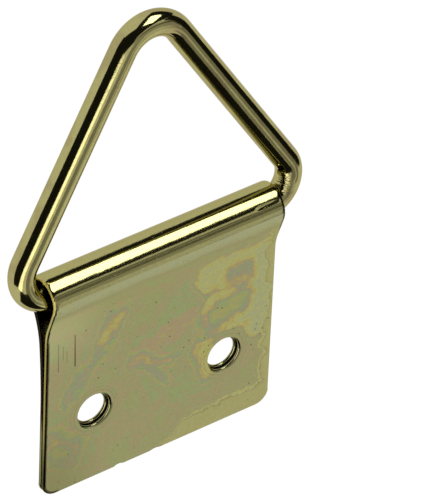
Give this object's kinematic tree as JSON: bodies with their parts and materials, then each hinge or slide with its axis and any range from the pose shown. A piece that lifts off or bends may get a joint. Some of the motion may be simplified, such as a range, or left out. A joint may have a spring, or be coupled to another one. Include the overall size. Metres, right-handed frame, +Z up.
{
  "type": "picture hook",
  "caption": "Folded sheet-metal strap with nail holes, curled round the base of a loose triangular wire ring that swings, for hanging a picture frame.",
  "frame": {"origin": "midway between the two nail holes, on the strap's back face", "axes": "+X along the wire's base, +Y from the front to the back face, +Z up from the holes to the ring's apex"},
  "size_m": [0.0252, 0.0046, 0.0373],
  "materials": {
    "strap_sheet": "bright yellow-passivated steel sheet with faint iridescent bands",
    "ring_wire": "bright polished brass-coloured steel wire"
  },
  "bodies": {
    "strap": {"folded_strap": "strap_sheet"},
    "ring": {"triangle_ring": "ring_wire"}
  },
  "joints": [
    {"name": "ring_swing", "type": "hinge", "parent": "strap", "child": "ring", "pos_m": [0, 0.00013, 0.01155], "axis": [1, 0, 0], "range_deg": [-155, 160]}
  ]
}
